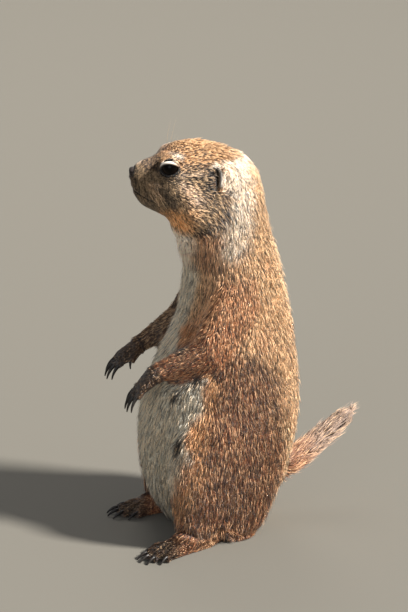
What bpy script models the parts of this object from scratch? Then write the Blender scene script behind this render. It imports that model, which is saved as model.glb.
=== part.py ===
"""A black-tailed prairie dog sitting up on its haunches, at life size.

Metres, +Z up, the floor at z = 0. It faces -Y, and its left side is +X.
The flesh is lofted in masses, blended into one body and parted by thin cuts.
Lengths below are in millimetres; MM turns them into metres.
"""

import math

import bmesh
import bpy
import numpy as np
from mathutils import Matrix, Vector

MM = 0.001

# Turns about the vertical, in degrees. A negative turn is towards the animal's own right.
CHEST_TURN = -15.0
HEAD_TURN = -25.0
TRUNK_AXIS = Vector((0.0, 40.0, 0.0))
HEAD_CENTRE = Vector((-4.0, 18.5, 247.4))

# How the masses are blended, and how many triangles each solid keeps.
BODY_VOXEL = 1.7
BODY_ROUNDS = 9
PAW_VOXEL = 0.8
PAW_ROUNDS = 3
HEAD_FROM = 213.0
HEAD_TRIANGLES = 950
BODY_TRIANGLES = 1900
FOREPAW_TRIANGLES = 180
FOOT_TRIANGLES = 250
GAP = 0.35
FOOT_ROOM = 0.9
SAME_PLACE = 0.004 * MM
NEARLY_FLAT = math.radians(4.5)
FAR = 400.0

SIDES = {"left": 1, "right": -1}

EYE_PLACE = (20.2, 14.8, 14.2)
EYE_RADIUS = 6.3
EAR_PLACE = (-13.0, 23.0, 6.5)
NOSE_PLACE = (45.6, 0.0, 7.0)
NOSE_SIZE = (4.6, 3.4, 3.6)
NOSE_PITCH = 20.0
# The ear's half sizes across, along and up, how far its back rim stands out and it leans back.
EAR_SIZE = (3.4, 6.4, 9.0)
EAR_FLARE = 24.0
EAR_LEAN = -12.0
EAR_DISH = 0.3

# The arms, beside the trunk's axis before the chest's turn: (across, y, z).
SHOULDER = (27, 38, 166)
ELBOWS = {"left": (37, 16, 135), "right": (37, 17, 138)}
WRISTS = {"left": (27, -18, 119.5), "right": (27, -18, 121)}
KNUCKLES = {"left": (27, -29.5, 110.4), "right": (27, -30, 113.5)}
# How far the forearms are slimmed from the left one's size.
SLIMMER = {"left": 0.9, "right": 2.2}
FINGER_SPREAD = (-6.0, -2.1, 2.1, 6.0)
FINGER_LENGTHS = (6.0, 8.5, 8.5, 6.5)
FORE_CLAW = 12.5

# Each hind leg's shift along the body, its heel and the tip of its middle toe, on the floor.
LEG_SHIFT = {"left": -6, "right": 10}
HAUNCH_REGION = (44, 22, 40)
HAUNCH_REACH = (27, 47, 54)
HEELS = {"left": (39, 4), "right": (31, 22)}
TOE_TIPS = {"left": (47, -49), "right": (38, -29)}
TOE_SPREAD = (-8.5, -4.3, 0.0, 4.3, 8.3)
TOE_REACH = (-11.0, -2.0, 0.0, -1.5, -8.5)
HIND_CLAW = 9.0
CLAW_BEND = 0.42

COAT = (0.47, 0.28, 0.15)
BELLY = (0.62, 0.55, 0.46)
GREY = (0.33, 0.25, 0.17)
DARK = (0.10, 0.07, 0.05)
BLACK = (0.015, 0.012, 0.010)


def turn(point, degrees, about=Vector((0, 0, 0))):
    """A point turned about the vertical through `about`."""
    return Matrix.Rotation(math.radians(degrees), 3, "Z") @ (Vector(point) - about) + about


def chest(side, place):
    """A point of the shoulders and arms, given as (across, y, z) before the chest's turn."""
    across, y, z = place
    return turn((side * across, y, z), CHEST_TURN, TRUNK_AXIS)


def head(forward, across, up):
    """A point of the head from its centre: towards the nose, towards its left, and up."""
    return HEAD_CENTRE + turn((across, -forward, up), HEAD_TURN)


def smooth_rows(rows, steps):
    """Rows of numbers made finer, on a smooth curve through them all."""
    rows = np.array(rows, float)
    padded = [2 * rows[0] - rows[1], *rows, 2 * rows[-1] - rows[-2]]
    finer = []
    for a, b, c, d in zip(padded, padded[1:], padded[2:], padded[3:], strict=False):
        for t in np.arange(steps) / steps:
            bend = (2 * a - 5 * b + 4 * c - d) * t**2 + (3 * b - a - 3 * c + d) * t**3
            finer.append(0.5 * (2 * b + (c - a) * t + bend))
    return np.array([*finer, rows[-1]])


def loft(stations, across=(1, 0, 0), sides=20, steps=4, grow=0.0):
    """A closed tube through stations of (centre, half width, half height), as a bmesh."""
    rows = smooth_rows([[*centre, wide, high] for centre, wide, high in stations], steps)
    rows[:, 3:] = np.maximum(rows[:, 3:], 0.3) + grow
    bm = bmesh.new()
    rings = []
    for i, row in enumerate(rows):
        ahead = rows[min(i + 1, len(rows) - 1)][:3] - rows[max(i - 1, 0)][:3]
        along = Vector(ahead).normalized()
        up = along.cross(Vector(across)).normalized()
        side = up.cross(along).normalized()
        middle = Vector(row[:3])
        if i == 0:
            middle -= along * grow
        if i == len(rows) - 1:
            middle += along * grow
        angles = [2 * math.pi * k / sides for k in range(sides)]
        rings.append([
            bm.verts.new(middle + side * row[3] * math.cos(a) + up * row[4] * math.sin(a))
            for a in angles
        ])
    for low, high in zip(rings, rings[1:], strict=False):
        for k in range(sides):
            n = (k + 1) % sides
            bm.faces.new((low[k], low[n], high[n], high[k]))
    bm.faces.new(rings[0][::-1])
    bm.faces.new(rings[-1])
    bmesh.ops.recalc_face_normals(bm, faces=bm.faces)
    return bm


def ball(centre, radii, turned=0.0, pitched=0.0, fine=(20, 14)):
    """An ellipsoid with radii (across, along the body, up), pitched and then turned."""
    bm = bmesh.new()
    bmesh.ops.create_uvsphere(bm, u_segments=fine[0], v_segments=fine[1], radius=1)
    spin = Matrix.Rotation(math.radians(turned), 4, "Z") @ Matrix.Rotation(math.radians(pitched), 4, "X")
    bm.transform(Matrix.Translation(centre) @ spin @ Matrix.Diagonal((*radii, 1)))
    return bm


def beyond(point, normal, grow=0.0):
    """A block filling the far side of a plane, which `grow` moves back."""
    bm = bmesh.new()
    bmesh.ops.create_cube(bm, size=FAR)
    normal = Vector(normal).normalized()
    facing = normal.to_track_quat("Z", "Y").to_matrix().to_4x4()
    bm.transform(Matrix.Translation(Vector(point) + normal * (FAR / 2 - grow)) @ facing)
    return bm


def add_object(name, pieces, colour=None, roughness=0.8):
    """One object holding the given bmeshes, turned from millimetres into metres."""
    mesh = bpy.data.meshes.new(name)
    whole = bmesh.new()
    for piece in pieces:
        piece.transform(Matrix.Scale(MM, 4))
        part = bpy.data.meshes.new("part")
        piece.to_mesh(part)
        piece.free()
        whole.from_mesh(part)
        bpy.data.meshes.remove(part)
    whole.to_mesh(mesh)
    whole.free()
    obj = bpy.data.objects.new(name, mesh)
    bpy.context.scene.collection.objects.link(obj)
    if colour:
        paint(obj, colour, roughness)
    return obj


def paint(obj, colour, roughness=0.8):
    """Gives the object its own plain material."""
    material = bpy.data.materials.new(obj.name)
    material.use_nodes = True
    shader = material.node_tree.nodes["Principled BSDF"]
    shader.inputs["Base Color"].default_value = (*colour, 1)
    shader.inputs["Roughness"].default_value = roughness
    obj.data.materials.clear()
    obj.data.materials.append(material)


def settle(obj):
    """Applies the object's modifiers."""
    graph = bpy.context.evaluated_depsgraph_get()
    mesh = bpy.data.meshes.new_from_object(obj.evaluated_get(graph))
    mesh.name = obj.name
    obj.modifiers.clear()
    obj.data = mesh
    return obj


def fuse(obj, voxel, rounds):
    """Blends overlapping masses into one closed skin."""
    remesh = obj.modifiers.new("fuse", "REMESH")
    remesh.mode = "VOXEL"
    remesh.voxel_size = voxel * MM
    soften = obj.modifiers.new("soften", "SMOOTH")
    soften.factor = 0.5
    soften.iterations = rounds
    return settle(obj)


def thin(obj, triangles, low=-FAR, high=FAR):
    """Leaves about that many triangles between two heights, and the rest as they are."""
    mesh = obj.data
    chosen = {v.index for v in mesh.vertices if low * MM <= v.co.z < high * MM}
    mesh.calc_loop_triangles()
    others = sum(not chosen.issuperset(t.vertices) for t in mesh.loop_triangles)
    group = obj.vertex_groups.new(name="chosen")
    group.add(list(chosen), 1.0, "REPLACE")
    reduce = obj.modifiers.new("thin", "DECIMATE")
    reduce.vertex_group = group.name
    reduce.ratio = (others + triangles) / len(mesh.loop_triangles)
    settle(obj)
    obj.vertex_groups.clear()
    return obj


def boolean(obj, pieces, operation):
    """Cuts the object by bmeshes, or keeps what it shares with them, and keeps one body."""
    for piece in pieces:
        tool = add_object("tool", [piece])
        cut = obj.modifiers.new("cut", "BOOLEAN")
        cut.operation = operation
        cut.solver = "EXACT"
        cut.object = tool
        settle(obj)
        bpy.data.objects.remove(tool)
    return keep_largest(obj)


def keep_largest(obj):
    """Drops all but the largest closed body, and any face without area."""
    bm = bmesh.new()
    bm.from_mesh(obj.data)
    bmesh.ops.triangulate(bm, faces=bm.faces)
    bmesh.ops.remove_doubles(bm, verts=bm.verts, dist=SAME_PLACE)
    bmesh.ops.dissolve_degenerate(bm, edges=bm.edges, dist=SAME_PLACE)
    left = set(bm.faces)
    groups = []
    while left:
        group = {left.pop()}
        edge_of = list(group)
        while edge_of:
            face = edge_of.pop()
            for edge in face.edges:
                for other in edge.link_faces:
                    if other in left:
                        left.remove(other)
                        group.add(other)
                        edge_of.append(other)
        groups.append(group)
    groups.sort(key=lambda faces: sum(f.calc_area() for f in faces))
    for group in groups[:-1]:
        bmesh.ops.delete(bm, geom=list(group), context="FACES")
    bm.to_mesh(obj.data)
    bm.free()
    return obj


def simplify(obj):
    """Joins the slivers that the cuts leave on nearly flat stretches."""
    bm = bmesh.new()
    bm.from_mesh(obj.data)
    bmesh.ops.dissolve_limit(bm, angle_limit=NEARLY_FLAT, verts=bm.verts, edges=bm.edges)
    bmesh.ops.delete(bm, geom=[e for e in bm.edges if not e.link_faces], context="EDGES")
    bmesh.ops.triangulate(bm, faces=bm.faces)
    bm.to_mesh(obj.data)
    bm.free()


def part_off(body, name, region, colour):
    """Moves what lies inside the region out of the body, into a node of its own."""
    piece = bpy.data.objects.new(name, body.data.copy())
    bpy.context.scene.collection.objects.link(piece)
    boolean(piece, [region(0.0)], "INTERSECT")
    paint(piece, colour)
    boolean(body, [region(GAP)], "DIFFERENCE")
    return piece


def trunk_and_neck():
    """The column from the rump to the nape: (height, centre's y, half depth, half width)."""
    column = (
        (-3, 36, 20, 28),
        (4, 35, 29, 36),
        (14, 32.5, 37, 43),
        (30, 29, 46.8, 50),
        (59, 28, 52.6, 54),
        (87, 32.7, 54, 53.5),
        (115, 38.8, 48.4, 48),
        (143, 43, 39.5, 42.5),
        (165, 42, 35.5, 39),
        (185, 40.9, 32.2, 35),
        (202, 36, 32, 32),
        (226, 29.5, 33.5, 31.5),
        (240, 31, 31, 28.5),
        (252, 29, 25, 24),
        (260, 26, 17, 15),
        (264, 26, 5, 5),
    )
    return loft([((0, y, z), wide, deep) for z, y, deep, wide in column], sides=36)


def head_masses():
    """The skull, cheeks, brows and lips."""
    # Forward of the head's centre, then top, bottom and half width.
    profile = (
        (47.6, 8.0, 3.5, 3.0),
        (45.8, 12.4, -2.5, 6.8),
        (42.0, 16.0, -9.5, 9.8),
        (35.0, 18.4, -17.5, 12.7),
        (28.0, 20.6, -22.0, 16.0),
        (20.5, 24.4, -26.5, 20.0),
        (12.0, 27.0, -30.5, 22.5),
        (0.0, 28.2, -32.5, 25.0),
        (-12.0, 25.4, -28.0, 25.5),
        (-24.0, 19.0, -22.0, 24.0),
        (-34.0, 8.0, -12.0, 14.0),
    )
    skull = loft(
        [(head(u, 0, (top + low) / 2), wide, (top - low) / 2) for u, top, low, wide in profile],
        across=turn((1, 0, 0), HEAD_TURN), sides=28,
    )
    masses = [skull]
    for side in SIDES.values():
        masses.append(ball(head(-2, side * 17, -13), (13.5, 19, 17), HEAD_TURN))
        masses.append(ball(head(19, side * 12.3, 13.4), (8.5, 10, 7.5), HEAD_TURN))
        masses.append(ball(head(34, side * 5.5, -3.5), (7.0, 9, 9), HEAD_TURN))
    return masses


def arm_masses(name, side):
    """An upper arm in the loose skin of the chest, an elbow and a forearm."""
    shoulder = chest(side, SHOULDER)
    elbow = chest(side, ELBOWS[name])
    wrist = chest(side, WRISTS[name])
    knuckle = chest(side, KNUCKLES[name])
    ahead = (wrist - elbow).normalized()
    upper = loft([(shoulder, 13, 18), ((shoulder + elbow) / 2, 12, 16), (elbow, 10, 12)])
    slim = SLIMMER[name]
    lower = loft([
        (elbow - ahead * 8, 6, 7),
        (elbow, 10.5 - slim, 12 - slim),
        (elbow.lerp(wrist, 0.5), 9.2 - slim, 10.5 - slim),
        (wrist, 7.0 - slim / 2, 6.8 - slim / 2),
        (wrist.lerp(knuckle, 0.5), 6.6, 5.4),
    ])
    return [upper, lower]


def leg_masses(name, side):
    """The haunch, knee and shank of one hind leg, folded under the body."""
    def at(across, y, z):
        return Vector((side * across, y + LEG_SHIFT[name], z))

    thigh = loft([
        (at(22, 60, 56), 14, 16), (at(29, 45, 60), 24, 32), (at(34, 20, 65), 23, 32),
        (at(36, -1, 66), 17, 23), (at(35, -13, 64), 9, 13),
    ])
    shank = loft([
        (at(36, 3, 76), 16, 19), (at(37, 2, 52), 17.5, 22), (at(38, 1, 30), 16, 19),
        (at(38, 0, 14), 12, 15), (at(38, 0, 4), 9, 12),
    ])
    rump = loft([
        (at(30, 36, 62), 22, 24), (at(32, 34, 36), 22, 28), (at(31, 30, 16), 19, 25), (at(30, 27, 2), 14, 18),
    ])
    flank = ball(at(32, 24, 47), (24, 33, 42))
    return [thigh, shank, rump, flank]


def tail_stations():
    """(y, z, half width, half height) from inside the rump to the tip."""
    return (
        (56, 27.5, 14, 13), (68, 27.5, 13, 12), (81, 29.3, 11.5, 9.8), (95, 32.8, 10.3, 8.6),
        (108, 38.8, 10, 7.8), (122, 46, 9.4, 7.2), (134, 53.2, 7.4, 5.6), (141.5, 58, 2, 1.5),
    )


def tail_mass(grow=0.0):
    stations = [((-(y - 56) * 0.12, y, z), wide, high) for y, z, wide, high in tail_stations()]
    return loft(stations, grow=grow)


def claw(root, ahead, down, length, thick, grow=0.0):
    """A curved claw that starts a little way inside its toe and bends down to a point."""
    ahead = Vector(ahead).normalized()
    down = Vector(down).normalized()
    stations = []
    for share in (0.0, 0.4, 0.75, 1.0):
        bend = CLAW_BEND * length * share**2
        centre = Vector(root) + ahead * length * share * (1 - 0.12 * share) + down * bend
        width = thick * (1 - 0.88 * share**1.4)
        stations.append((centre, width * 0.8, width))
    return loft(stations, across=ahead.cross(down), sides=5, steps=1, grow=grow)


def forepaw(name, side):
    """A forepaw with its five digits, and the claws as nodes of their own."""
    wrist = chest(side, WRISTS[name])
    knuckle = chest(side, KNUCKLES[name])
    left = turn((1, 0, 0), CHEST_TURN)
    ahead = (knuckle - wrist).normalized()
    palm_side = ahead.cross(left).normalized()
    if palm_side.z > 0:
        palm_side = -palm_side
    masses = [loft([
        (wrist - ahead * 5, 6.8, 6.2), (wrist, 6.8, 6.2), (wrist.lerp(knuckle, 0.55), 7.6, 5.2),
        (knuckle, 8.2, 4.6), (knuckle + ahead * 3, 6.5, 3.2),
    ], across=left)]
    claws = []
    for number, (spread, length) in enumerate(zip(FINGER_SPREAD, FINGER_LENGTHS, strict=True)):
        root = knuckle + left * side * spread - ahead * 2
        reach = (ahead + left * side * spread * 0.028).normalized()
        tip = root + reach * (length + 2) + palm_side * 1.2
        middle = root.lerp(tip, 0.5) - palm_side * 0.8
        masses.append(loft([(root, 2.6, 3.0), (middle, 2.5, 2.8), (tip, 2.0, 2.2)], across=left, sides=12))
        base = tip - reach * 2.2
        claws.append((f"fore_claw_{name}_{number + 2}", base, reach, palm_side, FORE_CLAW, 1.55))
    thumb_root = wrist.lerp(knuckle, 0.55) - left * side * 6 + palm_side * 1.5
    thumb_way = (ahead * 0.8 - left * side * 0.45 + palm_side * 0.45).normalized()
    thumb_tip = thumb_root + thumb_way * 5
    masses.append(loft([(thumb_root, 2.6, 2.8), (thumb_tip, 1.9, 2.0)], across=left, sides=12))
    claws.append((f"fore_claw_{name}_1", thumb_tip - thumb_way * 1.8, thumb_way, palm_side, 5.5, 1.2))
    paw = add_object(f"forepaw_{name}", masses)
    thin(fuse(paw, PAW_VOXEL, PAW_ROUNDS), FOREPAW_TRIANGLES)
    boolean(paw, [beyond(wrist, ahead)], "INTERSECT")
    add_claws(paw, claws)
    paint(paw, DARK)
    return paw


def add_claws(paw, claws):
    """Adds the claws as nodes, each set in a socket of its own."""
    for name, root, reach, down, length, thick in claws:
        add_object(name, [claw(root, reach, down, length, thick)], BLACK, 0.3)
        boolean(paw, [claw(root, reach, down, length, thick, GAP)], "DIFFERENCE")


def foot_frame(name, side):
    """The heel, the way to the middle toe and the way to the foot's outer side."""
    heel = Vector((side * HEELS[name][0], HEELS[name][1], 0))
    tip = Vector((side * TOE_TIPS[name][0], TOE_TIPS[name][1], 0))
    ahead = (tip - heel).normalized()
    outer = Vector((-ahead.y, ahead.x, 0)) * side
    return heel, tip, ahead, outer


def sole(name, side, grow=0.0, drop=0.0):
    """The foot behind its toes: (share of the way to the toe tips, top, half width)."""
    heel, tip, ahead, outer = foot_frame(name, side)
    stations = []
    outline = (
        (-0.06, 8, 4), (0.02, 14, 7), (0.2, 16.5, 8), (0.38, 15, 8),
        (0.55, 11, 8.6), (0.72, 8.6, 9.8), (0.82, 6.5, 9.2),
    )
    for share, top, wide in outline:
        middle = heel.lerp(tip, share) + Vector((0, 0, (top - 3 - drop) / 2))
        stations.append((middle, wide, (top + 3 + drop) / 2))
    fine = {"sides": 20, "steps": 4} if grow == 0 else {"sides": 14, "steps": 2}
    return loft(stations, across=outer * side, grow=grow, **fine)


def hind_foot(name, side):
    """A hind foot flat on the floor, with its five toes, and the claws as nodes."""
    heel, tip, ahead, outer = foot_frame(name, side)
    length = (tip - heel).length
    masses = [sole(name, side)]
    claws = []
    for number, (spread, reach) in enumerate(zip(TOE_SPREAD, TOE_REACH, strict=True)):
        toe_way = (ahead + outer * spread * 0.022).normalized()
        toe_root = heel + ahead * (length * 0.71 + reach * 0.5) + outer * spread * 0.8 + Vector((0, 0, 4.2))
        toe_tip = heel + ahead * (length + reach) + outer * spread * 1.25 + Vector((0, 0, 2.3))
        middle = toe_root.lerp(toe_tip, 0.6) + Vector((0, 0, 1.3))
        masses.append(loft([(toe_root, 3.0, 3.6), (middle, 2.7, 3.2), (toe_tip, 2.1, 2.5)],
                           across=outer, sides=12))
        base = toe_tip - toe_way * 2.0 + Vector((0, 0, HIND_CLAW * CLAW_BEND - 1.9))
        claws.append((f"hind_claw_{name}_{number + 1}", base, toe_way, (0, 0, -1), HIND_CLAW, 1.45))
    foot = add_object(f"hind_foot_{name}", masses)
    thin(fuse(foot, PAW_VOXEL, PAW_ROUNDS), FOOT_TRIANGLES)
    boolean(foot, [beyond((0, 0, 0), (0, 0, -1))], "DIFFERENCE")
    add_claws(foot, claws)
    paint(foot, DARK)
    return foot


def ear_shape(side, grow=0.0, dish=False):
    """An ear, a rounded flap whose back rim stands out. With `dish`, its outer face is hollow."""
    bm = bmesh.new()
    bmesh.ops.create_uvsphere(bm, u_segments=12, v_segments=9, radius=1)
    for corner in bm.verts:
        outward, forward, up = corner.co
        if dish and outward * side > 0:
            corner.co.x = -side * EAR_DISH * math.sqrt(max(0.0, 1 - forward**2 - up**2))
    lean = Matrix.Rotation(math.radians(HEAD_TURN - side * EAR_FLARE), 4, "Z")
    lean @= Matrix.Rotation(math.radians(EAR_LEAN), 4, "X")
    size = Matrix.Diagonal((*[radius + grow for radius in EAR_SIZE], 1))
    forward, across, up = EAR_PLACE
    bm.transform(Matrix.Translation(head(forward, side * across, up)) @ lean @ size)
    return bm


def add_face(head_node):
    """The eyes, ears and nose, each set in the head with a thin gap."""
    for name, side in SIDES.items():
        forward, across, up = EYE_PLACE
        centre = head(forward, side * across, up)
        add_object(f"eye_{name}", [ball(centre, [EYE_RADIUS] * 3, fine=(12, 8))], BLACK, 0.05)
        boolean(head_node, [ball(centre, [EYE_RADIUS + GAP] * 3, fine=(12, 8))], "DIFFERENCE")
        add_object(f"ear_{name}", [ear_shape(side, dish=True)], COAT)
        boolean(head_node, [ear_shape(side, GAP)], "DIFFERENCE")

    def nose_ball(grow):
        size = [radius + grow for radius in NOSE_SIZE]
        return ball(head(*NOSE_PLACE), size, HEAD_TURN, NOSE_PITCH, fine=(8, 6))

    add_object("nose", [nose_ball(0.0)], DARK, 0.5)
    boolean(head_node, [nose_ball(GAP)], "DIFFERENCE")


def part_arm(body, name, side):
    """Parts off the upper arm and the forearm."""
    shoulder = chest(side, SHOULDER)
    elbow = chest(side, ELBOWS[name])
    wrist = chest(side, WRISTS[name])
    knuckle = chest(side, KNUCKLES[name])
    ahead = (wrist - elbow).normalized()
    hand = (knuckle - wrist).normalized()
    outward = chest(side, (1, 40, 0)) - chest(side, (0, 40, 0))

    def forearm(grow):
        return loft([
            (elbow - ahead * 2, 14.5, 15.5), (elbow.lerp(wrist, 0.4), 13.5, 14.5), (wrist, 12, 12),
            (wrist + ahead * 22, 14, 14),
        ], sides=10, steps=1, grow=grow)

    def upper_arm(grow):
        return loft([
            (shoulder + outward * 5 + Vector((0, 0, 14)), 9, 12), (shoulder + outward * 5, 14, 19),
            ((shoulder + elbow) / 2 + outward * 4, 14, 18), (elbow + outward * 2, 13, 16),
            (elbow + outward * 2 - Vector((0, 0, 13)), 8, 10),
        ], sides=12, steps=1, grow=grow)

    lower = part_off(body, f"forearm_{name}", forearm, COAT)
    boolean(lower, [beyond(wrist, hand, GAP)], "DIFFERENCE")
    part_off(body, f"upper_arm_{name}", upper_arm, COAT)


def part_haunch(body, name, side):
    """Parts off the haunch, which holds the thigh, the knee and the shank."""
    across, y, z = HAUNCH_REGION
    centre = Vector((side * across, y + LEG_SHIFT[name], z))

    def haunch(grow):
        return ball(centre, [reach + grow for reach in HAUNCH_REACH], fine=(16, 11))

    part_off(body, f"haunch_{name}", haunch, COAT)


def part_body(body):
    """Parts the blended body where the head, neck, tail, arms and haunches begin."""
    nape = head(-43, 0, -2)
    throat = head(15, 0, -37)
    across = turn((1, 0, 0), HEAD_TURN)
    neck_way = (throat - nape).cross(across)
    if neck_way.z < 0:
        neck_way = -neck_way
    head_node = part_off(body, "head", lambda grow: beyond(nape, neck_way, grow), COAT)
    add_face(head_node)
    part_off(body, "neck", lambda grow: beyond((0, 39, 191), (0, -0.22, 1), grow), COAT)
    tail_root = Vector((-2.2, 76, 29))
    tail_way = Vector((-0.1, 1, 0.22)).normalized()

    def tail(grow):
        far_end = tail_root + tail_way * 110 + Vector((0, 0, 26))
        return loft([(tail_root, 19, 19), (far_end, 34, 34)], sides=10, steps=1, grow=grow)

    tail_node = part_off(body, "tail", tail, COAT)
    part_off(tail_node, "tail_tip", lambda grow: beyond((-7.5, 116, 47), (-0.1, 1, 0.68), grow), GREY)
    for name, side in SIDES.items():
        part_arm(body, name, side)
        part_haunch(body, name, side)


def centre_on_floor(objects):
    """Moves everything so that the origin is under the middle of the whole animal."""
    points = np.array([corner.co for obj in objects for corner in obj.data.vertices])
    middle = (points.min(axis=0) + points.max(axis=0)) / 2
    for obj in objects:
        obj.data.transform(Matrix.Translation((-middle[0], -middle[1], 0)))


def build():
    for obj in list(bpy.data.objects):
        bpy.data.objects.remove(obj)
    masses = [trunk_and_neck(), *head_masses(), tail_mass()]
    for name, side in SIDES.items():
        masses += arm_masses(name, side) + leg_masses(name, side)
    body = fuse(add_object("trunk", masses), BODY_VOXEL, BODY_ROUNDS)
    thin(body, HEAD_TRIANGLES, low=HEAD_FROM)
    thin(body, BODY_TRIANGLES, high=HEAD_FROM)
    boolean(body, [beyond((0, 0, 0), (0, 0, -1))], "DIFFERENCE")
    for name, side in SIDES.items():
        room = [sole(name, side, FOOT_ROOM), sole(name, side, FOOT_ROOM, drop=12)]
        boolean(body, room, "DIFFERENCE")
        forepaw(name, side)
        hind_foot(name, side)
    part_body(body)
    paint(body, BELLY)
    for obj in list(bpy.data.objects):
        simplify(obj)
    centre_on_floor(list(bpy.data.objects))


build()
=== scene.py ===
"""The looks of a sitting prairie dog: one skin, its coat, eyes, nose, claws and whiskers.

The frame is in metres with +Z up. The animal faces -Y and its left side is +X.
Lengths written as numbers are millimetres, which MM turns into metres.
The skin is blended from the solids of flesh, shaped on the head and drawn in by the
coat's depth. The coat is closed blades of mesh that follow its lie out to the solids.
"""

import math
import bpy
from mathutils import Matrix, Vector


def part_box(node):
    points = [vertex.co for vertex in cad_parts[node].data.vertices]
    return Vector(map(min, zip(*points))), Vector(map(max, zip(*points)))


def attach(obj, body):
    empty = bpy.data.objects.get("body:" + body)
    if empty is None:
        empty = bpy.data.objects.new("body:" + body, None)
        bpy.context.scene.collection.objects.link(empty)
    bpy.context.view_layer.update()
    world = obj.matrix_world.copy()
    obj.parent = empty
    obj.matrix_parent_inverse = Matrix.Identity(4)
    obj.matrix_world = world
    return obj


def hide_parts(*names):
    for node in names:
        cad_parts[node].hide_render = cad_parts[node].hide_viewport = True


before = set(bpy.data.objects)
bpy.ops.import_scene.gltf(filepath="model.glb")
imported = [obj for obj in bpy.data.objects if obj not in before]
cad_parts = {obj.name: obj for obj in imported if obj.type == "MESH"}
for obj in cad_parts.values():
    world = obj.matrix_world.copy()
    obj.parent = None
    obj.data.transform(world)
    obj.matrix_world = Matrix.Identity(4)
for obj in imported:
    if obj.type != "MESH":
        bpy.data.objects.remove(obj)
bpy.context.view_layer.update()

from types import SimpleNamespace

import bmesh
import bpy
import numpy as np
from mathutils import Vector
from mathutils.bvhtree import BVHTree

MM = 0.001
SIDES = {"left": 1, "right": -1}
FLESH = sorted(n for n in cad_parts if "claw" not in n and not n.startswith(("eye", "nose")))

# The camera, from the photograph: its angle, how far off it stands and what a pixel spans.
CAMERA_AZIMUTH = math.radians(62)
CAMERA_ELEVATION = math.radians(20)
CAMERA_DISTANCE = 5.0
CAMERA_TARGET = Vector((-0.8, -23.5, 157.4)) * MM
PIXEL = 0.68 * MM
PICTURE_HEIGHT = 612
SENSOR = 36.0

# The sun stands behind the animal and to its left, as in the photograph. The lamps are weak: each
# has its place in metres, its width, its power and its colour.
SUN_WAY = Vector((0.57, 0.54, 0.625))
SUN_WIDTH = math.radians(9)
SUN_STRENGTH = 8.2
LAMP_TARGET = Vector((0, 0, 0.14))
LAMPS = {
    "fill": ((1.2, -1.2, 0.9), 1.2, 6, (0.95, 0.97, 1.0)),
    "rim": ((-1.1, 0.4, 1.1), 0.7, 5, (1.0, 0.96, 0.9)),
}

# How far the solids swell to meet, the voxels that fuse them and the faces left in the end.
JOIN = 0.32
FULL_VOXEL = 0.8
VOXEL = FULL_VOXEL
SKIN_FACES = 190000

# How many hairs the coat has, what share of them stands off it, how many faces one piece of it
# may have, how far the roots sit under the skin, how thick a hair is for its width and how wide
# its patch of the map is.
LONG_HAIRS = 178000
SHORT_HAIRS = 92000
STRAY_SHARE = 0.07
PIECE_FACES = 198000
ROOT_DEPTH = 0.3
THICKNESS = 0.45
PATCH = 0.003

# What each node of flesh has: how far its facets are smoothed away, how deep its coat is, and
# how long and wide its hairs are.
SOFTNESS = {
    "trunk": 1.0, "haunch": 1.0, "neck": 0.9, "upper_arm": 0.7, "head": 0.10, "ear": 0.03,
    "forearm": 0.25, "forepaw": 0.03, "hind_foot": 0.06, "tail": 0.35,
}
COAT_DEPTH = {
    "trunk": 4.4, "haunch": 4.2, "neck": 4.2, "upper_arm": 3.2, "forearm": 2.2, "forepaw": 0.5,
    "hind_foot": 0.8, "tail": 4.2, "ear": 0.45, "head": 2.4,
}
HAIR_LENGTH = {
    "trunk": 12, "haunch": 12, "neck": 11, "upper_arm": 8, "forearm": 6.5, "forepaw": 2.6,
    "hind_foot": 2.6, "tail": 15, "ear": 1.7, "head": 6,
}
HAIR_WIDTH = {
    "trunk": 0.42, "haunch": 0.42, "neck": 0.42, "upper_arm": 0.52, "forearm": 0.48,
    "forepaw": 0.42, "hind_foot": 0.42, "tail": 0.5, "ear": 0.3, "head": 0.5,
}

# Places on the head are millimetres from its middle: towards the nose, to the left and up.
EYE_PLACE = (20.2, 14.8, 14.2)
EYE_RADIUS = 6.15
EYE_WAY = (0.24, 0.95, 0.2)
# The eye's opening: half its length, its heights above and below, how far it sits below the
# eyeball's middle and ahead of it, and how far it is tilted.
EYE_LENGTH = 5.7
EYE_ABOVE = 3.1
EYE_BELOW = 3.3
EYE_DROP = 1.0
EYE_AHEAD = 0.7
EYE_TILT = math.radians(8)
# Lines on the ear are millimetres forward and up from its own middle.
EAR_PLACE = (-13.0, 23.0, 6.5)
EAR_RIM = ((3.4, 7.4), (1.2, 8.2), (-0.5, 6.0), (-0.9, 1.0), (-0.5, -4.0))
EAR_HOLLOW = ((3.2, 5.0), (3.6, 0.0), (4.2, -5.0), (5.5, -7.5))
EAR_FRONT = ((6.0, 2.0), (7.0, -4.0), (8.0, -8.0))
NOSE_TIP = (47.6, 0.0, 5.0)
NOSE_PAD_PLACE = (45.2, 0.0, 6.6)
NOSE_PAD_SIZE = (3.3, 3.9, 3.2)
NOSTRIL = ((0.42, -0.12), (0.62, 0.1), (0.86, 0.02))

# Each whisker's root on the head, and its length: three rows on the muzzle and two over the eye.
WHISKERS = [
    (36 - 2.6 * k - 0.6 * row, 12, 2.5 - 3.2 * row, 17 + 2.2 * k) for row in range(3) for k in range(4)
]
WHISKERS += [(24, 12, 26, 15), (21, 12, 27, 17)]
# A whisker's rings, and the angle between two of the three corners in each.
WHISKER_RINGS = 6
THIRD_TURN = 2.0944

# Millimetres from the frame's middle: the trunk's axis, the dark spots on the belly's left side
# with their sizes, and the grey patch inside the near elbow.
TRUNK_MIDDLE = (-0.8, -2.9, 0.0)
BELLY_SPOTS = ((24.4, -44.3, 113.5, 4.4), (17.5, -55.1, 97.5, 2.8), (36.0, -62.0, 68.0, 3.8))
ELBOW_PATCH = (18.5, -53.5, 136.5)
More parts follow.
